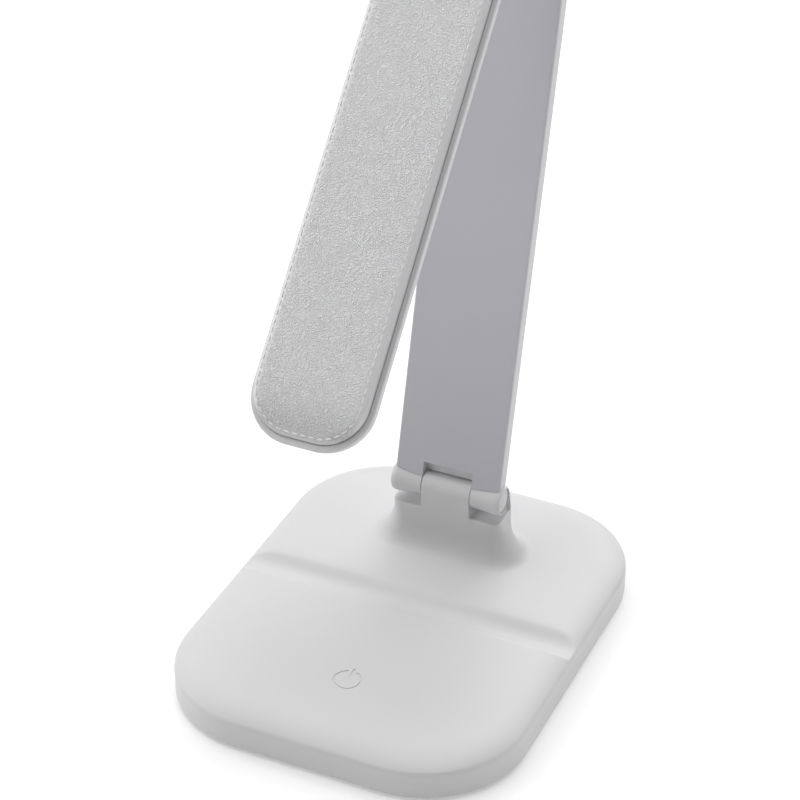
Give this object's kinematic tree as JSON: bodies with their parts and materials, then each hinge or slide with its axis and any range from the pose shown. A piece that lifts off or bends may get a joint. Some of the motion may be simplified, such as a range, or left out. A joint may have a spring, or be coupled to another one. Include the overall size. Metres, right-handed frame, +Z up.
{
  "type": "folding led desk lamp",
  "caption": "Folding desk lamp: rounded base with a pen groove and touch key, flat arm on a friction hinge, slim leather-faced light head that folds against the arm.",
  "frame": {"origin": "the middle of the foot pad's face, on the desk", "axes": "+Z up, +Y towards the back of the base, the power symbol and the groove towards -Y, +X to the right seen from the front"},
  "size_m": [0.12, 0.1822, 0.298],
  "materials": {
    "white_plastic": "fine satin moulded ABS",
    "white_panel": "white satin enamel on aluminium sheet",
    "white_leather": "white pebbled leatherette with a stitched edge",
    "grey_plastic": "satin",
    "grey_rubber": "matt",
    "dark_steel": "black oxide",
    "zinc_steel": "zinc plated",
    "plated_steel": "nickel plated",
    "spring_steel": "oiled",
    "bronze": "sintered, oiled",
    "black_nylon": "satin",
    "battery_wrap": "foil pouch",
    "foam_tape": "foam",
    "green_board": "solder mask",
    "white_board": "white solder mask",
    "black_parts": "moulded epoxy",
    "copper": "copper foil",
    "ribbon_film": "polyimide film",
    "led_phosphor": "phosphor over white ceramic",
    "reflector_film": "white reflector film",
    "opal_diffuser": "opal acrylic, satin"
  },
  "bodies": {
    "base": {"base_cover": "white_plastic", "base_plate": "white_plastic", "foot_pad": "grey_rubber", "base_screws": "dark_steel", "counterweight": "zinc_steel", "weight_screws": "zinc_steel", "battery": "battery_wrap", "battery_tape": "foam_tape", "main_board": "green_board", "board_parts": "black_parts", "usb_socket": "plated_steel", "board_screws": "zinc_steel", "touch_board": "green_board", "touch_electrode": "copper", "touch_ribbon": "ribbon_film", "neck_bracket": "zinc_steel", "bracket_screws": "zinc_steel", "neck_ribbon": "ribbon_film", "lower_bush": "bronze", "lower_washers": "black_nylon"},
    "arm": {"arm_shell": "white_plastic", "arm_front_panel": "white_panel", "arm_core": "zinc_steel", "arm_ribbon": "ribbon_film", "lower_pin": "plated_steel", "lower_disc_springs": "spring_steel", "lower_nut": "zinc_steel", "lower_end_caps": "white_plastic", "upper_pin": "plated_steel", "upper_disc_springs": "spring_steel", "upper_nut": "zinc_steel", "upper_end_caps": "white_plastic"},
    "head": {"head_frame": "white_plastic", "trim_plate": "grey_plastic", "leather_cover": "white_leather", "led_board": "white_board", "led_chips": "led_phosphor", "led_screws": "zinc_steel", "reflector": "reflector_film", "diffuser": "opal_diffuser", "head_ribbon": "ribbon_film", "upper_bush": "bronze", "upper_washers": "black_nylon"}
  },
  "joints": [
    {"name": "arm_tilt", "type": "hinge", "parent": "base", "child": "arm", "pos_m": [0, 0.0356, 0.0366], "axis": [1, 0, 0], "range_deg": [-15.7, 104.3]},
    {"name": "head_fold", "type": "hinge", "parent": "arm", "child": "head", "pos_m": [0, 0.10088, 0.29271], "axis": [-1, 0, 0], "range_deg": [-28.5, 151.5]}
  ]
}
